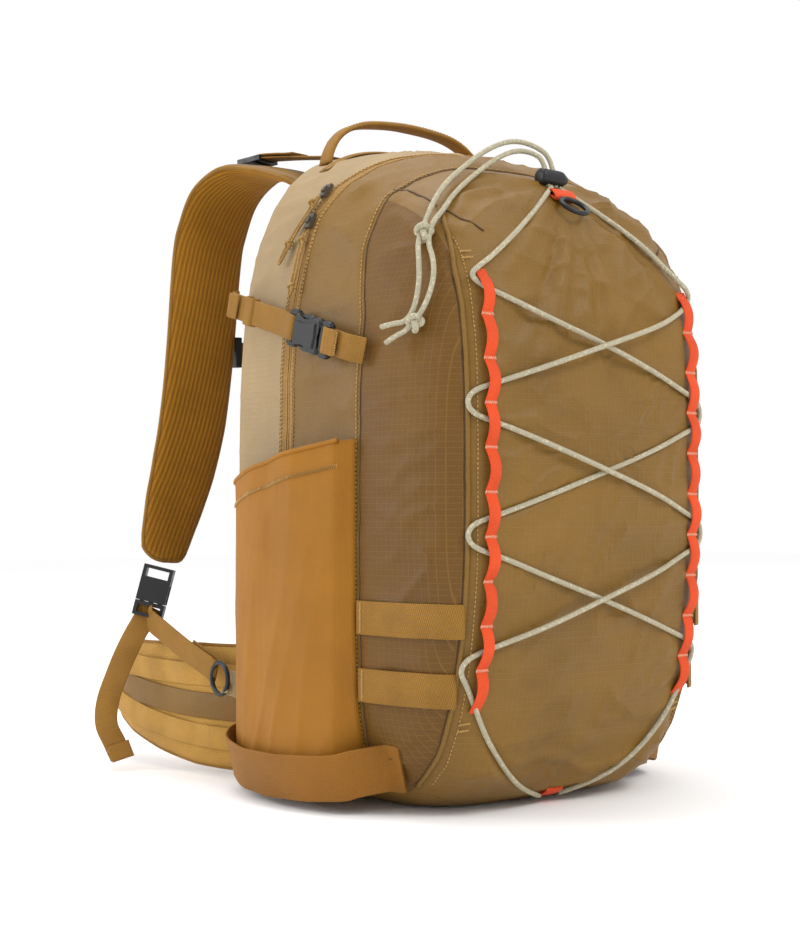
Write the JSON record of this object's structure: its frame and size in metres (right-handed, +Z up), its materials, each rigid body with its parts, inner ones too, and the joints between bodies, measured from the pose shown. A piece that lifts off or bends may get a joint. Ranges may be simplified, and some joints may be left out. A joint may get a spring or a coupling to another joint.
{
  "type": "tackle backpack",
  "caption": "Upright zipped daypack with shoulder harness, hip belt, bottle pockets, side compression straps and elastic cord laced across its front.",
  "frame": {"origin": "middle of the base, on the surface the bag stands on", "axes": "+Z up, +Y towards the wearer (harness side), -Y out of the laced front, +X to the right when the front is seen"},
  "size_m": [0.4362, 0.5315, 0.5652],
  "materials": {
    "shell_fabric": "matte",
    "side_fabric": "matte",
    "zip_tape": "matte",
    "back_mesh": "matte",
    "frame_plastic": "matte",
    "lining": "matte",
    "stretch_fabric": "matte",
    "elastic_band": "matte",
    "webbing": "matte",
    "buckle_plastic": "matte",
    "orange_webbing": "matte",
    "lacing_cord": "matte",
    "slider_metal": "satin",
    "pull_cord": "matte",
    "pad_mesh": "matte"
  },
  "bodies": {
    "bag": {"rear_zip_tape": "zip_tape", "rear_band": "side_fabric", "base_panel": "shell_fabric", "back_panel": "back_mesh", "frame_sheet": "frame_plastic", "hydration_sleeve": "lining", "lumbar_pad": "back_mesh", "back_zip": "zip_tape", "bottle_pocket_left": "stretch_fabric", "bottle_pocket_right": "stretch_fabric", "pocket_bands": "elastic_band", "side_webs": "webbing", "side_keepers": "webbing", "side_sockets": "buckle_plastic", "corner_tabs": "side_fabric"},
    "front": {"front_zip_tape": "zip_tape", "mid_band": "shell_fabric", "front_panel": "shell_fabric", "gusset_left": "shell_fabric", "gusset_right": "shell_fabric", "organizer_pocket": "lining", "side_plugs": "buckle_plastic", "side_tabs": "webbing", "daisy_left": "orange_webbing", "daisy_right": "orange_webbing", "lash_loops": "webbing", "lace_left": "lacing_cord", "lace_right": "lacing_cord", "anchor_tab": "orange_webbing", "base_tab": "orange_webbing", "tail_cords": "lacing_cord", "tail_knots": "lacing_cord"},
    "lock": {"cord_lock": "buckle_plastic"},
    "lock_button": {"cord_lock_button": "buckle_plastic"},
    "hook": {"hook_ring": "buckle_plastic"},
    "slider_a": {"zip_slider_a": "slider_metal", "zip_pull_a": "pull_cord"},
    "slider_b": {"zip_slider_b": "slider_metal", "zip_pull_b": "pull_cord"},
    "handle": {"haul_loop": "webbing"},
    "strap_left": {"shoulder_pad_left": "pad_mesh", "strap_webs_left": "webbing", "strap_clips_left": "buckle_plastic", "d_ring_left": "buckle_plastic"},
    "chest_left": {"chest_slider_left": "buckle_plastic", "chest_web_left": "webbing", "chest_socket": "buckle_plastic"},
    "hip_left": {"hip_wing_left": "pad_mesh", "hip_webs_left": "webbing", "hip_socket": "buckle_plastic"},
    "strap_right": {"shoulder_pad_right": "pad_mesh", "strap_webs_right": "webbing", "strap_clips_right": "buckle_plastic", "d_ring_right": "buckle_plastic"},
    "chest_right": {"chest_slider_right": "buckle_plastic", "chest_web_right": "webbing", "chest_plug": "buckle_plastic"},
    "hip_right": {"hip_wing_right": "pad_mesh", "hip_webs_right": "webbing", "hip_plug": "buckle_plastic"}
  },
  "joints": [
    {"name": "front_opens", "type": "hinge", "parent": "bag", "child": "front", "pos_m": [0, -0.05, 0.012], "axis": [1, 0, 0], "range_deg": [0, 34]},
    {"name": "lock_slides", "type": "slide", "parent": "front", "child": "lock", "axis": [0, 0.153, 0.9882], "range_m": [0, 0.004]},
    {"name": "lock_button_press", "type": "slide", "parent": "lock", "child": "lock_button", "axis": [-1, 0, 0], "range_m": [0, 0.003], "stiffness_N_per_m": 800},
    {"name": "hook_swings", "type": "hinge", "parent": "front", "child": "hook", "pos_m": [0, -0.0795, 0.4715], "axis": [1, 0, 0], "range_deg": [-30, 0]},
    {"name": "slider_a_runs", "type": "slide", "parent": "bag", "child": "slider_a", "axis": [-0.6034, 0, -0.7975], "range_m": [0, 0.005]},
    {"name": "slider_b_runs", "type": "slide", "parent": "bag", "child": "slider_b", "axis": [-0.4209, 0, -0.9071], "range_m": [0, 0.01]},
    {"name": "handle_tips", "type": "hinge", "parent": "bag", "child": "handle", "pos_m": [0, 0.127, 0.529], "axis": [1, 0, 0], "range_deg": [-25, 25]},
    {"name": "strap_left_swings", "type": "hinge", "parent": "bag", "child": "strap_left", "pos_m": [-0.162, 0.168, 0.086], "axis": [0.2242, 0.0092, 0.9745], "range_deg": [0, 25]},
    {"name": "chest_left_slides", "type": "slide", "parent": "strap_left", "child": "chest_left", "axis": [-0.131, -0.083, -0.9879], "range_m": [-0.025, 0.025]},
    {"name": "hip_left_closes", "type": "hinge", "parent": "bag", "child": "hip_left", "pos_m": [-0.116, 0.164, 0.058], "axis": [0, 0, 1], "range_deg": [-20, 0]},
    {"name": "strap_right_swings", "type": "hinge", "parent": "bag", "child": "strap_right", "pos_m": [0.162, 0.168, 0.086], "axis": [-0.2242, 0.0092, 0.9745], "range_deg": [-25, 0]},
    {"name": "chest_right_slides", "type": "slide", "parent": "strap_right", "child": "chest_right", "axis": [0.131, -0.083, -0.9879], "range_m": [-0.025, 0.025]},
    {"name": "hip_right_closes", "type": "hinge", "parent": "bag", "child": "hip_right", "pos_m": [0.116, 0.164, 0.058], "axis": [0, 0, 1], "range_deg": [0, 20]}
  ]
}
